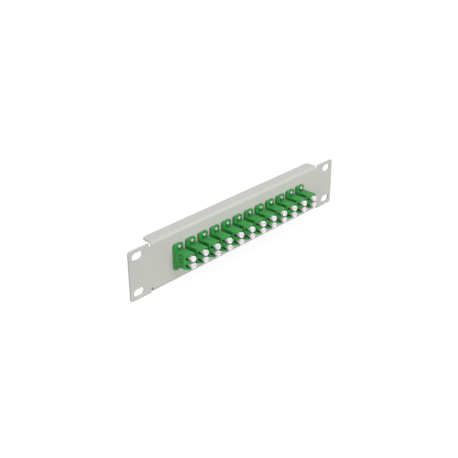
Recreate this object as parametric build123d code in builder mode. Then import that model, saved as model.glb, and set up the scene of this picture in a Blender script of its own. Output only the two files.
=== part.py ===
from build123d import *
import os

# A ten inch, one unit fibre patch panel: a folded steel front panel that carries
# a row of duplex couplers, each with two screws, two inner sleeves and dust caps.
# Millimetres. X runs along the panel, the front faces -Y and +Z is up.
# The origin is the centre of the rack slots, on the rear face of the ears.

# Front panel
panel_width = 254.0
panel_height = 44.0
sheet = 1.5
lip_depth = 12.0  # from the front face to the rear edge of the folded lips
bend_radius = 2.6  # outside of the folds
lip_half_length = 103.3
lip_corner_radius = 3.5
ear_corner_radius = 2.3
notch_width = 2.5
notch_depth = 4.2

# Rack slots
rack_spacing_x = 236.52
rack_spacing_z = 31.75
rack_slot_length = 10.8
rack_slot_width = 6.5

# Row of couplers
coupler_count = 12
coupler_pitch = 14.0
body_width = 9.4
body_height = 12.9
body_length = 29.6
slant_width = 3.0  # the mouth slants back on the keyed side, so that fingers reach the latches
slant_depth = 3.2
cutout_clearance = 0.1
flange_width = 9.8
flange_height = 22.6
flange_thickness = 2.4
flange_corner = 1.2

# Ports of a coupler
port_spacing = 6.25
port_offset = 0.6  # the ports sit away from the keyed side
pocket_width = 4.76
pocket_floor = -3.45
pocket_shoulder = 1.31
key_width = 4.0
key_top = 2.95
stem_width = 2.7
stem_top = 4.43
partition = 1.4  # wall at the joint of the two halves, on each side of it
latch_length = 2.5
latch_width = 0.9
latch_spacing = 3.7
latch_setback = 7.2

# Inner sleeve and the moulded tube around it
sleeve_bore = 1.25
sleeve_diameter = 1.62
sleeve_length = 6.8
sleeve_slit = 0.3
sleeve_clearance = 0.05
tube_diameter = 2.7
tube_length = 4.8
tube_mouth = 1.3

# Screws and nuts
screw_spacing = 18.0
screw_diameter = 2.0
screw_clearance = 0.1
screw_head_diameter = 3.9
screw_head_height = 2.2
screw_head_edge = 0.8
nut_width = 4.0
nut_height = 1.6
thread_stickout = 0.6

# Dust caps
cap_clearance = 0.08  # around the moulded tube
cap_skirt_width = 3.7
cap_head_width = 4.9
cap_rim = 1.1
cap_stickout = 3.0
cap_grip = 2.9  # how far the skirt reaches over the tube
cap_flare_depth = 2.0  # where the flare starts, inside the port

# Flat sides of what is round and repeated: caps and screw heads, and the small bores and pins
cap_sides = 8
bore_sides = 6

# Places that follow from the sizes above
lip_rear = lip_depth - sheet
joint_y = -sheet - flange_thickness / 2
front_y = joint_y - body_length / 2
port_depth = body_length / 2 - partition
screw_hole = screw_diameter + 2 * screw_clearance
cap_end_y = front_y - cap_stickout
cap_open_y = joint_y - tube_length + cap_grip
cap_flare_y = front_y + cap_flare_depth
row = GridLocations(coupler_pitch, 0, coupler_count, 1)
coupler_x = [place.position.X for place in row]


def round_bar(diameter):
    """Section of a small bore or pin, its flats at the given diameter."""
    return RegularPolygon(diameter / 2, bore_sides, major_radius=False)


def port_profile():
    """Mouth of one port: a square pocket with a stepped key on the -X side."""
    with BuildSketch() as profile:
        with BuildLine():
            right = Polyline(
                (-pocket_floor, 0),
                (-pocket_floor, pocket_width / 2),
                (-pocket_shoulder, pocket_width / 2),
                (-pocket_shoulder, key_width / 2),
                (-key_top, key_width / 2),
                (-key_top, stem_width / 2),
                (-stem_top, stem_width / 2),
                (-stem_top, 0),
            )
            mirror(right, about=Plane.XZ)
        make_face()
    return profile.sketch


def coupler_half():
    """Front half of a coupler at x = 0, from the joint to the port mouths."""
    joint_plane = Plane.XZ.offset(-joint_y)
    ports = [(port_offset, -port_spacing / 2), (port_offset, port_spacing / 2)]
    with BuildPart() as half:
        with BuildSketch(joint_plane):
            Rectangle(body_width, body_height)
        extrude(amount=body_length / 2)
        mouth = half.faces().sort_by(Axis.Y)[0]
        keyed_edge = mouth.edges().sort_by(Axis.X)[0]
        chamfer(keyed_edge, length=slant_width, length2=slant_depth, reference=mouth)
        with BuildSketch(joint_plane) as flange:
            Rectangle(flange_width, flange_height)
            chamfer(flange.vertices(), flange_corner)
            with GridLocations(0, screw_spacing, 1, 2):
                RegularPolygon(screw_hole / 2, bore_sides, mode=Mode.SUBTRACT)
        extrude(amount=flange_thickness / 2)
        with BuildSketch(Plane.XZ.offset(-front_y)):
            with Locations(*ports):
                add(port_profile())
        extrude(amount=-port_depth, mode=Mode.SUBTRACT)
        with BuildSketch(Plane.XZ.offset(partition - joint_y)):
            with Locations(*ports):
                round_bar(tube_diameter)
        extrude(amount=tube_length - partition)
        with BuildSketch(joint_plane):
            with Locations(*ports):
                round_bar(sleeve_diameter + 2 * sleeve_clearance)
        extrude(amount=sleeve_length / 2 + sleeve_clearance, mode=Mode.SUBTRACT)
        with BuildSketch(joint_plane):
            with Locations(*ports):
                round_bar(tube_mouth)
        extrude(amount=tube_length, mode=Mode.SUBTRACT)
        with BuildSketch(Plane.YZ.offset(-body_width / 2)):
            with Locations(*[(front_y + latch_setback, height) for side, height in ports]):
                with GridLocations(0, latch_spacing, 1, 2):
                    Rectangle(latch_length, latch_width)
        extrude(amount=body_width / 2 + port_offset - key_top, mode=Mode.SUBTRACT)
    return half.part


def dust_cap():
    """Flared cap at x = z = 0, its skirt open towards the panel."""
    flare_plane = Plane.XZ.offset(-cap_flare_y)
    flare_length = cap_flare_y - cap_end_y - cap_rim
    with BuildPart() as cap:
        with BuildSketch(flare_plane):
            RegularPolygon(cap_head_width / 2, cap_sides, major_radius=False)
        extrude(amount=cap_flare_y - cap_end_y)
        back = cap.faces().sort_by(Axis.Y)[-1]
        flare_width = (cap_head_width - cap_skirt_width) / 2
        chamfer(back.edges(), length=flare_width, length2=flare_length, reference=back)
        with BuildSketch(flare_plane):
            RegularPolygon(cap_skirt_width / 2, cap_sides, major_radius=False)
        extrude(amount=cap_flare_y - cap_open_y)
        with BuildSketch(Plane.XZ.offset(-cap_open_y)):
            round_bar(tube_diameter + 2 * cap_clearance)
        extrude(amount=cap_grip + cap_clearance, mode=Mode.SUBTRACT)
    return cap.part


def turned_round(half):
    """The same piece seen from behind: mirrored across the joint plane."""
    return mirror(half, about=Plane.XZ.offset(-joint_y))


os.makedirs("parts", exist_ok=True)

# Folded steel panel with ears
with BuildPart() as front_panel:
    with BuildSketch(Plane.YZ):
        with BuildLine():
            outside = FilletPolyline(
                (lip_rear, panel_height / 2),
                (-sheet, panel_height / 2),
                (-sheet, -panel_height / 2),
                (lip_rear, -panel_height / 2),
                radius=bend_radius,
            )
            inside = FilletPolyline(
                (lip_rear, panel_height / 2 - sheet),
                (0, panel_height / 2 - sheet),
                (0, sheet - panel_height / 2),
                (lip_rear, sheet - panel_height / 2),
                radius=bend_radius - sheet,
            )
            Line(outside @ 0, inside @ 0)
            Line(outside @ 1, inside @ 1)
        make_face()
    extrude(amount=lip_half_length, both=True)
    lip_corners = front_panel.edges().filter_by(Axis.Z).group_by(Axis.Y)[-1]
    fillet(lip_corners, lip_corner_radius)
    ear_width = panel_width / 2 - lip_half_length
    with BuildSketch(Plane.XZ) as ears:
        with GridLocations(panel_width - ear_width, 0, 2, 1):
            Rectangle(ear_width, panel_height)
        ear_ends = ears.vertices().group_by(Axis.X)
        fillet(ear_ends[0] + ear_ends[-1], ear_corner_radius)
        with GridLocations(2 * lip_half_length + notch_width, panel_height, 2, 2):
            SlotOverall(2 * notch_depth, notch_width, rotation=90, mode=Mode.SUBTRACT)
    extrude(amount=sheet)
    with BuildSketch(Plane.XZ):
        with GridLocations(rack_spacing_x, rack_spacing_z, 2, 2):
            SlotOverall(rack_slot_length, rack_slot_width)
        with GridLocations(coupler_pitch, 0, coupler_count, 1):
            Rectangle(body_width + 2 * cutout_clearance, body_height + 2 * cutout_clearance)
        with GridLocations(coupler_pitch, screw_spacing, coupler_count, 2):
            RegularPolygon(screw_hole / 2, bore_sides)
    extrude(amount=sheet, mode=Mode.SUBTRACT)
front_panel.part.label = "front_panel"
export_step(front_panel.part, "parts/front_panel.step")

# Moulded coupler halves, welded to each other at the middle of the flange
front_half = coupler_half()
rear_half = turned_round(front_half)
for number, x in enumerate(coupler_x, start=1):
    for side, shape in (("front", front_half), ("rear", rear_half)):
        name = f"adapter_{side}_{number:02d}"
        with BuildPart() as adapter:
            with Locations((x, 0, 0)):
                add(shape)
        adapter.part.label = name
        export_step(adapter.part, f"parts/{name}.step")

# Dust caps in the front ports, one piece each
front_cap = dust_cap()
for number, x in enumerate(coupler_x, start=1):
    for level, z in (("lower", -port_spacing / 2), ("upper", port_spacing / 2)):
        name = f"front_cap_{number:02d}_{level}"
        with BuildPart() as cap_piece:
            with Locations((x + port_offset, 0, z)):
                add(front_cap)
        cap_piece.part.label = name
        export_step(cap_piece.part, f"parts/{name}.step")

# Dust caps in the rear ports
port_grid = [(x + port_offset, 0, z) for x in coupler_x for z in (-port_spacing / 2, port_spacing / 2)]
rear_cap = turned_round(front_cap)
with BuildPart() as rear_caps:
    with Locations(*port_grid):
        add(rear_cap)
rear_caps.part.label = "rear_caps"
export_step(rear_caps.part, "parts/rear_caps.step")

# Split ceramic sleeves that line up the fibre ends
with BuildPart() as sleeve:
    with BuildSketch(Plane.XZ.offset(-joint_y)):
        round_bar(sleeve_diameter)
        RegularPolygon(sleeve_bore / 2, bore_sides, major_radius=False, mode=Mode.SUBTRACT)
        with Locations((sleeve_diameter / 2, 0)):
            Rectangle(sleeve_diameter, sleeve_slit, mode=Mode.SUBTRACT)
    extrude(amount=sleeve_length / 2, both=True)
with BuildPart() as alignment_sleeves:
    with Locations(*port_grid):
        add(sleeve.part)
alignment_sleeves.part.label = "alignment_sleeves"
export_step(alignment_sleeves.part, "parts/alignment_sleeves.step")

# Pan head screws through the flanges
head_seat_y = -sheet - flange_thickness
thread_end_y = nut_height + thread_stickout
with BuildPart() as screw:
    with BuildSketch(Plane.XZ.offset(-head_seat_y)):
        RegularPolygon(screw_head_diameter / 2, cap_sides)
    extrude(amount=screw_head_height)
    chamfer(screw.faces().sort_by(Axis.Y)[0].edges(), screw_head_edge)
    with BuildSketch(Plane.XZ.offset(-head_seat_y)):
        RegularPolygon(screw_diameter / 2, bore_sides)
    extrude(amount=head_seat_y - thread_end_y)
screw_grid = [(x, 0, z) for x in coupler_x for z in (-screw_spacing / 2, screw_spacing / 2)]
with BuildPart() as flange_screws:
    with Locations(*screw_grid):
        add(screw.part)
flange_screws.part.label = "flange_screws"
export_step(flange_screws.part, "parts/flange_screws.step")

# Hexagon nuts behind the panel, which the screws fill
with BuildPart() as nut:
    with BuildSketch(Plane.XZ):
        RegularPolygon(nut_width / 2, side_count=6, major_radius=False)
        RegularPolygon(screw_diameter / 2, bore_sides, mode=Mode.SUBTRACT)
    extrude(amount=-nut_height)
with BuildPart() as flange_nuts:
    with Locations(*screw_grid):
        add(nut.part)
flange_nuts.part.label = "flange_nuts"
export_step(flange_nuts.part, "parts/flange_nuts.step")
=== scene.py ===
# Looks of a ten inch fibre patch panel: powder coated steel, green couplers, white dust caps.
import bpy
import bmesh
import math
from mathutils import Matrix, Vector


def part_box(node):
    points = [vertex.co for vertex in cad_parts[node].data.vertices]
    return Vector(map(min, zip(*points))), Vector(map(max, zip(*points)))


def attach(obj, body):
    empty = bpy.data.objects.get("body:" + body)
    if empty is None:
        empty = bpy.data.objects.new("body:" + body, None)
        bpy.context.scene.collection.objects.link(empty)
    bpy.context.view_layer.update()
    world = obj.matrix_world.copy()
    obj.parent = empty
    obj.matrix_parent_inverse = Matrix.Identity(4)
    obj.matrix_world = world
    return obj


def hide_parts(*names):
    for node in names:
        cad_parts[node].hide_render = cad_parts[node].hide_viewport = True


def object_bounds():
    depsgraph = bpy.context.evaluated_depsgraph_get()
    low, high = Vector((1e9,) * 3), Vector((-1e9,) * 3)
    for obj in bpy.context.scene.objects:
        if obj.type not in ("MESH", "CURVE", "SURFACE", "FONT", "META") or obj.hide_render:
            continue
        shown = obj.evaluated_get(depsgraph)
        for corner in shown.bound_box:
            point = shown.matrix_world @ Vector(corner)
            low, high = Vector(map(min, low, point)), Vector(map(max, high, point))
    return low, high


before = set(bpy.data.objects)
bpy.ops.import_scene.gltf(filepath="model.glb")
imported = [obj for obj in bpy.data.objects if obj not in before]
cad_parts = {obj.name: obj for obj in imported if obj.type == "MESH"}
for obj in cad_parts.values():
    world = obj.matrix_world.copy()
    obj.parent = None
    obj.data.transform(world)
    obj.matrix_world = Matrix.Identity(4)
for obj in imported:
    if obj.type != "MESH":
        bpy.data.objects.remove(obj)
cadBox = [list(corner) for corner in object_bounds()]
mm = 0.001
print("frame loaded, nodes:", len(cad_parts))


# Materials: colours are sRGB hex values, pattern sizes are millimetres on the object

def toLinear(hexColour):
    channels = [int(hexColour[i:i + 2], 16) / 255 for i in (1, 3, 5)]
    return [c / 12.92 if c <= 0.04045 else ((c + 0.055) / 1.055) ** 2.4 for c in channels] + [1.0]


def perMetre(size):
    return 1 / (size * mm)  # a noise of this scale has features of about that many millimetres


def addNode(holder, kind, values=None, links=None, **settings):
    # holder is a material or a world
    node = holder.node_tree.nodes.new(kind)
    for key, value in settings.items():
        setattr(node, key, value)
    for key, value in (values or {}).items():
        node.inputs[key].default_value = value
    for key, source in (links or {}).items():
        holder.node_tree.links.new(source, node.inputs[key])
    return node


def newSurface(name):
    material = bpy.data.materials.new(name)
    material.use_nodes = True
    return material, material.node_tree.nodes["Principled BSDF"]


def noise(material, size, detail=2.0, distortion=0.0):
    place = addNode(material, "ShaderNodeTexCoord").outputs["Object"]
    pattern = addNode(material, "ShaderNodeTexNoise",
                      {"Scale": perMetre(size), "Detail": detail, "Distortion": distortion},
                      {"Vector": place})
    return pattern.outputs["Fac"]


def varyTone(material, surface, look, pattern):
    tone = addNode(material, "ShaderNodeMix", {6: toLinear(look["shade"]), 7: toLinear(look["colour"])},
                   {0: pattern}, data_type="RGBA")
    material.node_tree.links.new(tone.outputs[2], surface.inputs["Base Color"])


def varyGloss(material, surface, look, pattern):
    smoother, rougher = look["glossRange"]
    gloss = addNode(material, "ShaderNodeMapRange",
                    {"To Min": look["roughness"] - smoother, "To Max": look["roughness"] + rougher},
                    {"Value": pattern})
    material.node_tree.links.new(gloss.outputs["Result"], surface.inputs["Roughness"])


def raiseGrain(material, surface, look, pattern):
    grain = addNode(material, "ShaderNodeBump",
                    {"Strength": look["relief"], "Distance": look["depth"] * mm}, {"Height": pattern})
    material.node_tree.links.new(grain.outputs["Normal"], surface.inputs["Normal"])


powderCoat = {
    "colour": "#CACAC5",
    "shade": "#C4C4BE",
    "cloud": 22.0,  # slow change of tone over the sheet
    "grain": 0.9,  # orange peel, drawn a little coarse so that it shows
    "relief": 0.5,
    "depth": 0.012,
    "roughness": 0.54,
    "glossRange": (0.06, 0.06),
}


def powderCoatedSteel():
    # Powder coat: baked polyester powder, which gives an even satin with fine orange peel
    look = powderCoat
    material, surface = newSurface("powder_coated_steel")
    varyTone(material, surface, look, noise(material, look["cloud"], 3.0))
    peel = noise(material, look["grain"])
    varyGloss(material, surface, look, peel)
    raiseGrain(material, surface, look, peel)
    return material


greenMoulding = {
    "colour": "#2E9A41",
    "shade": "#278C38",
    "flow": 5.0,  # faint flow marks of the melt
    "swirl": 0.6,
    "grain": 0.35,  # spark eroded mould surface
    "relief": 0.4,
    "depth": 0.004,
    "roughness": 0.34,
    "glossRange": (0.05, 0.08),
}


def mouldedGreenPbt():
    # PBT, injection moulded: saturated colour under a smooth half gloss skin
    look = greenMoulding
    material, surface = newSurface("moulded_green_pbt")
    flow = noise(material, look["flow"], distortion=look["swirl"])
    varyTone(material, surface, look, flow)
    varyGloss(material, surface, look, flow)
    raiseGrain(material, surface, look, noise(material, look["grain"]))
    return material


whiteCaps = {
    "colour": "#F5F2F5",
    "shade": "#EFECEF",
    "cloud": 2.5,
    "relief": 0.25,
    "depth": 0.01,
    "roughness": 0.42,
    "glow": 0.6,  # share of light that scatters below the surface
    "glowDepth": 1.5,
    "glowReach": (1.0, 0.9, 0.85),  # red goes a little deeper than blue
}


def softWhitePolyethylene():
    # Low density polyethylene: milky, a little translucent and waxy
    look = whiteCaps
    material, surface = newSurface("soft_white_polyethylene")
    cloud = noise(material, look["cloud"])
    varyTone(material, surface, look, cloud)
    raiseGrain(material, surface, look, cloud)
    surface.inputs["Roughness"].default_value = look["roughness"]
    surface.inputs["Subsurface Weight"].default_value = look["glow"]
    surface.inputs["Subsurface Radius"].default_value = look["glowReach"]
    surface.inputs["Subsurface Scale"].default_value = look["glowDepth"] * mm
    return material


brightNickel = {
    "colour": "#A2A4A4",
    "marks": 0.25,  # faint marks of the header's tool
    "relief": 0.2,
    "depth": 0.004,
    "roughness": 0.4,
    "glossRange": (0.08, 0.1),
}


def nickelPlatedSteel():
    # Nickel plate over cold headed steel: bright, with faint tool marks
    look = brightNickel
    material, surface = newSurface("nickel_plated_steel")
    marks = noise(material, look["marks"], 3.0)
    varyGloss(material, surface, look, marks)
    raiseGrain(material, surface, look, marks)
    surface.inputs["Base Color"].default_value = toLinear(look["colour"])
    surface.inputs["Metallic"].default_value = 1.0
    return material


zirconia = {
    "colour": "#F3F1EA",
    "shade": "#ECE9DF",
    "cloud": 1.2,
    "roughness": 0.14,
}


def polishedZirconia():
    # Zirconia ceramic: dense and warm white, ground and polished
    look = zirconia
    material, surface = newSurface("polished_zirconia")
    varyTone(material, surface, look, noise(material, look["cloud"]))
    surface.inputs["Roughness"].default_value = look["roughness"]
    return material


panelPaint = powderCoatedSteel()
greenPlastic = mouldedGreenPbt()
whitePlastic = softWhitePolyethylene()
nickel = nickelPlatedSteel()
ceramic = polishedZirconia()
print("materials made")


# Shaping helpers: outlines lie in the X-Z plane, and depth runs along Y

weld = 0.001  # points closer than this are one
crease = 50  # degrees: a sharper edge stays hard in the shading
spare = 1  # how far a cutting tool reaches past what it cuts


def roundedOutline(width, height, radius, steps=5):
    points = []
    for turn, (sx, sz) in enumerate(((1, 1), (-1, 1), (-1, -1), (1, -1))):
        for step in range(steps + 1):
            angle = math.radians(90 * turn + 90 * step / steps)
            points.append((sx * (width / 2 - radius) + radius * math.cos(angle),
                           sz * (height / 2 - radius) + radius * math.sin(angle)))
    return points


def bar(points, yFrom, yTo):
    bm = bmesh.new()
    face = bm.faces.new([bm.verts.new((x * mm, yFrom * mm, z * mm)) for x, z in points])
    grown = bmesh.ops.extrude_face_region(bm, geom=[face])
    moved = [v for v in grown["geom"] if isinstance(v, bmesh.types.BMVert)]
    bmesh.ops.translate(bm, vec=(0, (yTo - yFrom) * mm, 0), verts=moved)
    bmesh.ops.recalc_face_normals(bm, faces=bm.faces)
    return bm


def block(length, depth, height):
    bm = bmesh.new()
    bmesh.ops.create_cube(bm, size=1)
    bmesh.ops.scale(bm, vec=(length * mm, depth * mm, height * mm), verts=bm.verts)
    return bm


def turned(profile, steps):
    # profile holds (radius, y) pairs from one end of the piece to the other
    bm = bmesh.new()
    verts = [bm.verts.new((radius * mm, y * mm, 0)) for radius, y in profile]
    edges = [bm.edges.new(pair) for pair in zip(verts, verts[1:])]
    bmesh.ops.spin(bm, geom=verts + edges, cent=(0, 0, 0), axis=(0, 1, 0),
                   angle=math.tau, steps=steps, use_merge=True)
    bmesh.ops.remove_doubles(bm, verts=bm.verts, dist=weld * mm)
    bmesh.ops.recalc_face_normals(bm, faces=bm.faces)
    return bm


def pin(radius, yFrom, yTo, steps=24):
    return turned([(0, yFrom), (radius, yFrom), (radius, yTo), (0, yTo)], steps)


def toMesh(name, bm):
    mesh = bpy.data.meshes.new(name)
    bm.to_mesh(mesh)
    bm.free()
    return mesh


def toObject(name, mesh):
    piece = bpy.data.objects.new(name, mesh)
    bpy.context.collection.objects.link(piece)
    return piece


def tool(bm):
    return toObject("tool", toMesh("tool", bm))


def finishedMesh(piece):
    # the piece's mesh with its modifiers applied, the piece itself removed
    shape = piece.evaluated_get(bpy.context.evaluated_depsgraph_get())
    mesh = bpy.data.meshes.new_from_object(shape)
    bpy.data.objects.remove(piece)
    return mesh


def combine(base, tools, operation):
    for other in tools:
        change = base.modifiers.new("change", "BOOLEAN")
        change.object = other
        change.operation = operation
        change.solver = "EXACT"
    name = base.name
    mesh = finishedMesh(base)
    for other in tools:
        bpy.data.objects.remove(other)
    return toObject(name, mesh)


def softEdges(piece, width, segments=2, angle=30):
    bevel = piece.modifiers.new("edges", "BEVEL")
    bevel.width = width * mm
    bevel.segments = segments
    bevel.limit_method = "ANGLE"
    bevel.angle_limit = math.radians(angle)
    return bevel


def joinedCopies(shape, places):
    # one bmesh with a copy of the shape at each place
    bm = bmesh.new()
    for place in places:
        before = len(bm.verts)
        bm.from_mesh(shape)
        bm.verts.ensure_lookup_table()
        bmesh.ops.translate(bm, vec=Vector(place) * mm, verts=bm.verts[before:])
    return bm


def standIn(name, bm, material, body, node):
    # the finished piece that takes the place of one node of the frame
    mesh = toMesh(name, bm)
    mesh.materials.clear()
    mesh.materials.append(material)
    mesh.shade_smooth()
    mesh.set_sharp_from_angle(angle=math.radians(crease))
    piece = toObject(name, mesh)
    flats = piece.modifiers.new("flats", "WEIGHTED_NORMAL")  # keeps flat faces flat beside soft edges
    flats.keep_sharp = True
    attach(piece, body)
    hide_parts(node)


# Places read from the frame, in millimetres
couplerCount = sum(1 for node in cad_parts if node.startswith("adapter_front_"))
firstLow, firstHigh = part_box("adapter_front_01")
secondLow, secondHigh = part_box("adapter_front_02")
couplerPitch = (secondLow.x - firstLow.x) / mm
firstX = (firstLow.x + firstHigh.x) / 2 / mm
jointY = firstHigh.y / mm
portFaceY = firstLow.y / mm
capLow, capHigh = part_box("front_cap_01_upper")
capEndY = capLow.y / mm
capOpenY = capHigh.y / mm
portX = (capLow.x + capHigh.x) / 2 / mm - firstX
portZ = (capLow.z + capHigh.z) / 2 / mm
screwLow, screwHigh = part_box("flange_screws")
nutLow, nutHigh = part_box("flange_nuts")
couplerX = [firstX + couplerPitch * i for i in range(couplerCount)]
ports = [(portX, -portZ), (portX, portZ)]

coupler = {
    "width": 9.4,
    "height": 12.9,
    "bodyRadius": 0.45,
    "flangeWidth": 9.8,
    "flangeHeight": 22.6,
    "flangeRadius": 1.4,
    "flangeHalf": 1.2,
    "screwSpacing": 18.0,
    "screwHole": 2.3,
    "partition": 1.4,
    "edge": 0.22,
    # port outline: distance towards the keyed side and half width, from the port's axis
    "port": ((-3.45, 2.1), (-3.17, 2.38), (0.85, 2.38), (1.31, 1.92), (1.31, 1.72), (2.13, 1.72),
             (2.13, 2.2), (2.95, 2.2), (2.95, 1.35), (4.43, 1.35)),
    "slant": (3.0, 3.2),  # width and depth of the cut that leads to the keyed side
    "latch": (2.5, 0.9),
    "latchSetback": 7.2,
    "latchSpacing": 3.7,
    "latchDepth": 2.35,
    "tubeOuter": 1.35,
    "tubeInner": 0.65,
    "tubeLength": 4.8,
    "tubeRoot": 0.2,  # how deep the tube stands in the partition
    "tubeChamfer": 0.15,
    "tubeSides": 32,
}


def portCutter(place):
    x0, z0 = place
    side = [(x0 - towards, z0 + half) for towards, half in coupler["port"]]
    other = [(x0 - towards, z0 - half) for towards, half in reversed(coupler["port"])]
    return tool(bar(side + other, portFaceY - spare, jointY - coupler["partition"]))


def slantCutter():
    # wedge off the keyed side of the mouth: drawn in plan, then stood up
    width, depth = coupler["slant"]
    x0, y0 = -coupler["width"] / 2, portFaceY
    plan = [(x0 - spare, y0 - spare), (x0 + width + spare * width / depth, y0 - spare),
            (x0 - spare, y0 + depth + spare * depth / width)]
    bm = bar(plan, -coupler["height"], coupler["height"])
    bmesh.ops.rotate(bm, cent=(0, 0, 0), matrix=Matrix.Rotation(-math.pi / 2, 3, "X"), verts=bm.verts)
    return tool(bm)


def latchCutter(place, shift):
    length, width = coupler["latch"]
    bm = block(2 * coupler["latchDepth"], length, width)
    middle = (-coupler["width"] / 2, portFaceY + coupler["latchSetback"], place[1] + shift)
    bmesh.ops.translate(bm, vec=Vector(middle) * mm, verts=bm.verts)
    return tool(bm)


def screwHoleCutter(side):
    bm = pin(coupler["screwHole"] / 2, jointY - coupler["flangeHalf"] - 2 * spare, jointY + spare)
    bmesh.ops.translate(bm, vec=(0, 0, side * coupler["screwSpacing"] / 2 * mm), verts=bm.verts)
    return tool(bm)


def portTube():
    # moulded tube that holds the sleeve, with both its lips chamfered
    inner, outer, chamfer = coupler["tubeInner"], coupler["tubeOuter"], coupler["tubeChamfer"]
    endY = jointY - coupler["tubeLength"]
    rootY = jointY - coupler["partition"] + coupler["tubeRoot"]
    profile = [(inner, rootY), (inner, endY + chamfer), (inner + chamfer, endY), (outer - chamfer, endY),
               (outer, endY + chamfer), (outer, rootY), (inner, rootY)]
    return toMesh("tube", turned(profile, coupler["tubeSides"]))


def couplerFront():
    # front half of one coupler at x = 0, with its two ports open
    c = coupler
    body = bar(roundedOutline(c["width"], c["height"], c["bodyRadius"]), jointY, portFaceY)
    flange = bar(roundedOutline(c["flangeWidth"], c["flangeHeight"], c["flangeRadius"]),
                 jointY, jointY - c["flangeHalf"])
    half = combine(tool(body), [tool(flange)], "UNION")
    cutters = [portCutter(place) for place in ports]
    cutters += [latchCutter(place, shift) for place in ports
                for shift in (-c["latchSpacing"] / 2, c["latchSpacing"] / 2)]
    cutters.append(slantCutter())
    cutters += [screwHoleCutter(side) for side in (-1, 1)]
    half = combine(half, cutters, "DIFFERENCE")
    softEdges(half, c["edge"])
    bm = joinedCopies(portTube(), [(x, 0, z) for x, z in ports])
    bm.from_mesh(finishedMesh(half))
    return toMesh("couplerFront", bm)


def turnedRound(shape):
    # the same shape on the other side of the couplers' joint
    bm = bmesh.new()
    bm.from_mesh(shape)
    bmesh.ops.scale(bm, vec=(1, -1, 1), verts=bm.verts)
    bmesh.ops.translate(bm, vec=(0, 2 * jointY * mm, 0), verts=bm.verts)
    bmesh.ops.reverse_faces(bm, faces=bm.faces)
    return toMesh("turnedRound", bm)


frontShape = couplerFront()
rearShape = turnedRound(frontShape)
for number, x in enumerate(couplerX, start=1):
    for side, shape in (("front", frontShape), ("rear", rearShape)):
        standIn(f"coupler_{side}_{number:02d}", joinedCopies(shape, [(x, 0, 0)]),
                greenPlastic, "panel", f"adapter_{side}_{number:02d}")
print("couplers made:", couplerCount)

cap = {
    "skirt": 1.85,
    "skirtEdge": (0.1, 0.15),
    "bore": 1.43,
    "boreLength": 3.0,
    "neck": 1.7,
    "neckSteps": (0.6, 1.0),  # the skirt narrows to the neck between these, above the flare
    "head": 2.6,
    "rim": 1.1,
    "rimRadius": 0.45,
    "rimSteps": 5,
    "dimple": 1.15,
    "dimpleEdge": (0.15, 0.12),
    "dimpleDepth": 1.5,
    "dimpleFloor": (0.3, 0.1),
    "flareStart": 2.8,  # inside the port
    "flareSteps": 6,
    "flareBend": 1.25,  # the flare opens gently, then runs straight
    "sides": 40,
}


def dustCap():
    # flared cap on the axis, its skirt open towards the panel
    c = cap
    neckY = portFaceY + c["flareStart"]
    rimY = capEndY + c["rim"]
    edge, edgeDepth = c["skirtEdge"]
    neckLow, neckHigh = c["neckSteps"]
    profile = [(0, capOpenY - c["boreLength"]), (c["bore"], capOpenY - c["boreLength"]),
               (c["bore"], capOpenY), (c["skirt"] - edge, capOpenY), (c["skirt"], capOpenY - edgeDepth),
               (c["skirt"], neckY + neckHigh), (c["neck"], neckY + neckLow), (c["neck"], neckY)]
    for step in range(1, c["flareSteps"] + 1):
        share = step / c["flareSteps"]
        spread = share ** c["flareBend"]
        profile.append((c["neck"] + (c["head"] - c["neck"]) * spread, neckY + (rimY - neckY) * share))
    for step in range(c["rimSteps"] + 1):
        angle = math.radians(90 * step / c["rimSteps"])
        profile.append((c["head"] - c["rimRadius"] * (1 - math.cos(angle)),
                        capEndY + c["rimRadius"] * (1 - math.sin(angle))))
    edge, edgeDepth = c["dimpleEdge"]
    inset, rise = c["dimpleFloor"]
    floorY = capEndY + c["dimpleDepth"]
    profile += [(c["dimple"] + edge, capEndY), (c["dimple"], capEndY + edgeDepth),
                (c["dimple"] - inset, floorY - rise), (0, floorY)]
    return toMesh("dustCap", turned(profile, c["sides"]))


capShape = dustCap()
for number, x in enumerate(couplerX, start=1):
    for level, z in (("lower", -portZ), ("upper", portZ)):
        node = f"front_cap_{number:02d}_{level}"
        standIn(f"dust_cap_{number:02d}_{level}", joinedCopies(capShape, [(x + portX, 0, z)]),
                whitePlastic, node + "_body", node)
rearCapPlaces = [(x + portX, 0, z) for x in couplerX for z in (-portZ, portZ)]
standIn("rear_dust_caps", joinedCopies(turnedRound(capShape), rearCapPlaces),
        whitePlastic, "panel", "rear_caps")
print("dust caps made:", 2 * len(rearCapPlaces))

screw = {
    "headRadius": 1.93,
    "headHeight": 2.2,
    "domeShare": 0.62,  # of the head's height that is domed
    "domeTop": 0.45,  # of the head's radius that is flat on top
    "domeSteps": 8,
    "shank": 0.98,
    "threadPitch": 0.4,
    "threadDepth": 0.12,
    "threadEnd": 0.2,
    "recessLength": 2.1,
    "recessWidth": 0.5,
    "recessDepth": 0.75,
    "recessTaper": 0.55,
    "sides": 32,
}


def recessBlade(turn, headY):
    # one blade of the cross recess, narrower at its foot
    s = screw
    bm = block(s["recessLength"], 2 * s["recessDepth"], s["recessWidth"])
    foot = [v for v in bm.verts if v.co.y > 0]
    bmesh.ops.scale(bm, vec=(s["recessTaper"], 1, s["recessTaper"]), verts=foot)
    bmesh.ops.rotate(bm, cent=(0, 0, 0), matrix=Matrix.Rotation(turn, 3, "Y"), verts=bm.verts)
    bmesh.ops.translate(bm, vec=(0, headY * mm, 0), verts=bm.verts)
    return tool(bm)


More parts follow.
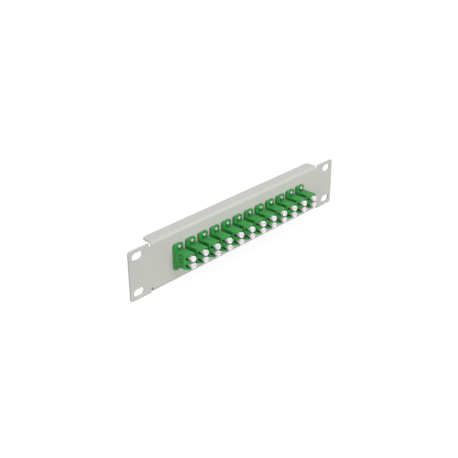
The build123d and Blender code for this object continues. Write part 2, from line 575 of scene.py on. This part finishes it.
def panHeadScrew():
    s = screw
    headY = screwLow.y / mm
    seatY = headY + s["headHeight"]
    endY = screwHigh.y / mm
    dome = s["headHeight"] * s["domeShare"]
    profile = [(0, headY)]
    for step in range(1, s["domeSteps"] + 1):
        angle = math.radians(90 * step / s["domeSteps"])
        share = s["domeTop"] + (1 - s["domeTop"]) * math.sin(angle)
        profile.append((s["headRadius"] * share, headY + dome * (1 - math.cos(angle))))
    profile += [(s["headRadius"], seatY), (s["shank"], seatY), (s["shank"], 0)]
    y = 0
    while y + s["threadPitch"] < endY:
        profile += [(s["shank"] - s["threadDepth"], y + s["threadPitch"] / 2),
                    (s["shank"], y + s["threadPitch"])]
        y += s["threadPitch"]
    profile += [(s["shank"] - s["threadEnd"], endY), (0, endY)]
    blades = [recessBlade(turn, headY) for turn in (0, math.pi / 2)]
    return finishedMesh(combine(tool(turned(profile, s["sides"])), blades, "DIFFERENCE"))


nut = {
    "flats": 4.0,
    "bore": 0.95,
    "corner": 0.16,
    "cornerAngle": 50,
}


def hexNut():
    n = nut
    frontY, backY = nutLow.y / mm, nutHigh.y / mm
    reach = n["flats"] / 2 / math.cos(math.pi / 6)
    corners = [(reach * math.cos(math.radians(60 * i)), reach * math.sin(math.radians(60 * i)))
               for i in range(6)]
    core = pin(n["bore"], frontY - spare, backY + spare)
    ring = combine(tool(bar(corners, frontY, backY)), [tool(core)], "DIFFERENCE")
    softEdges(ring, n["corner"], angle=n["cornerAngle"])
    return finishedMesh(ring)


screwPlaces = [(x, 0, side * coupler["screwSpacing"] / 2) for x in couplerX for side in (-1, 1)]
standIn("pan_head_screws", joinedCopies(panHeadScrew(), screwPlaces),
        nickel, "panel", "flange_screws")
standIn("hex_nuts", joinedCopies(hexNut(), screwPlaces),
        nickel, "panel", "flange_nuts")
print("screws and nuts made:", len(screwPlaces))

sheet = {
    "edge": 0.25,  # the coat rounds what the punch left sharp
    "edgeSteps": 3,
    "edgeAngle": 70,
    "flatWithin": 0.5,  # degrees
}


def coatedSheet():
    # the sheet from the frame, its flats joined up and its cut edges rounded
    bm = bmesh.new()
    bm.from_mesh(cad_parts["front_panel"].data)
    bmesh.ops.remove_doubles(bm, verts=bm.verts, dist=weld * mm)
    bmesh.ops.dissolve_limit(bm, angle_limit=math.radians(sheet["flatWithin"]),
                             verts=bm.verts, edges=bm.edges)
    folded = tool(bm)
    bevel = softEdges(folded, sheet["edge"], sheet["edgeSteps"], sheet["edgeAngle"])
    bevel.use_clamp_overlap = False
    bevel.loop_slide = False
    return finishedMesh(folded)


standIn("folded_panel", joinedCopies(coatedSheet(), [(0, 0, 0)]),
        panelPaint, "panel", "front_panel")
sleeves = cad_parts["alignment_sleeves"]
sleeves.data.materials.clear()
sleeves.data.materials.append(ceramic)
print("panel made")

# Floor, light and camera
stage = {
    "floor": "#707070",
    "floorSize": 8.0,
    "floorRoughness": 0.9,
    "lift": 0.87,  # added for rays that show the floor, so that it reads as white
    "world": 0.4,
    "key": {"towards": (0.05, -0.3, 0.95), "spread": 50.0, "strength": 0.8},
    "fill": {"towards": (0.02, -0.96, 0.27), "spread": 30.0, "strength": 1.46},
    "side": {"towards": (-0.9, -0.3, 0.3), "spread": 30.0, "strength": 0.85},
    "back": {"towards": (0.4, 0.85, 0.35), "spread": 60.0, "strength": 0.55},
}


def seenLift(holder, strength):
    # strength for rays that show the background, nothing for rays that light the object
    rays = addNode(holder, "ShaderNodeLightPath")
    seen = addNode(holder, "ShaderNodeMath", operation="MAXIMUM",
                   links={0: rays.outputs["Is Camera Ray"], 1: rays.outputs["Is Glossy Ray"]})
    through = addNode(holder, "ShaderNodeMath", operation="MAXIMUM",
                      links={0: seen.outputs["Value"], 1: rays.outputs["Is Transmission Ray"]})
    lift = addNode(holder, "ShaderNodeMath", {1: strength}, {0: through.outputs["Value"]},
                   operation="MULTIPLY")
    return lift.outputs["Value"]


def makeFloor():
    material, surface = newSurface("pale_floor")
    surface.inputs["Base Color"].default_value = toLinear(stage["floor"])
    surface.inputs["Roughness"].default_value = stage["floorRoughness"]
    surface.inputs["Emission Color"].default_value = (1, 1, 1, 1)
    material.node_tree.links.new(seenLift(material, stage["lift"]), surface.inputs["Emission Strength"])
    bm = bmesh.new()
    bmesh.ops.create_grid(bm, x_segments=1, y_segments=1, size=stage["floorSize"] / 2)
    bmesh.ops.translate(bm, vec=(0, 0, cadBox[0][2]), verts=bm.verts)
    floor = toObject("floor", toMesh("floor", bm))
    floor.data.materials.append(material)


def makeLamp(name, lampFacts):
    # a far and wide source, so that the floor stays even from edge to edge
    lamp = bpy.data.lights.new(name, "SUN")
    lamp.angle = math.radians(lampFacts["spread"])
    lamp.energy = lampFacts["strength"]
    holder = bpy.data.objects.new(name, lamp)
    holder.rotation_euler = Vector(lampFacts["towards"]).to_track_quat("Z", "Y").to_euler()
    bpy.context.collection.objects.link(holder)


def makeWorld():
    # dim as a source of light, white as a background
    world = bpy.data.worlds.new("studio")
    world.use_nodes = True
    strength = addNode(world, "ShaderNodeMath", {1: stage["world"]},
                       {0: seenLift(world, 1 - stage["world"])}, operation="ADD")
    background = world.node_tree.nodes["Background"]
    background.inputs["Color"].default_value = (1, 1, 1, 1)
    world.node_tree.links.new(strength.outputs["Value"], background.inputs["Strength"])
    bpy.context.scene.world = world


viewpoint = {
    "azimuth": -46.84,
    "elevation": 26.77,
    "roll": -0.32,
    "distance": 0.72212,
    "aside": -0.01104,
    "upward": -0.00448,
    "target": (0, -0.0015, 0),
    "lens": 839.76 / 458 * 36,  # focal length in pixels of a 458 pixel frame, on a 36 mm sensor
    "nearest": 0.01,
}


def makeCamera():
    a, e, r = (math.radians(viewpoint[key]) for key in ("azimuth", "elevation", "roll"))
    back = Vector((math.sin(a) * math.cos(e), -math.cos(a) * math.cos(e), math.sin(e)))
    right = Vector((math.cos(a), math.sin(a), 0))
    up = back.cross(right)
    turnedRight = math.cos(r) * right + math.sin(r) * up
    turnedUp = -math.sin(r) * right + math.cos(r) * up
    camera = bpy.data.objects.new("camera", bpy.data.cameras.new("camera"))
    camera.data.lens = viewpoint["lens"]
    camera.data.clip_start = viewpoint["nearest"]
    facing = Matrix((turnedRight, turnedUp, back)).transposed().to_4x4()
    centre = Vector(viewpoint["target"]) + back * viewpoint["distance"]
    centre += turnedRight * viewpoint["aside"] + turnedUp * viewpoint["upward"]
    camera.matrix_world = Matrix.Translation(centre) @ facing
    bpy.context.collection.objects.link(camera)
    bpy.context.scene.camera = camera


makeFloor()
for name in ("key", "fill", "side", "back"):
    makeLamp(name + "_lamp", stage[name])
makeWorld()
bpy.context.scene.view_settings.view_transform = "Standard"
makeCamera()
print("stage, lamps and camera made")
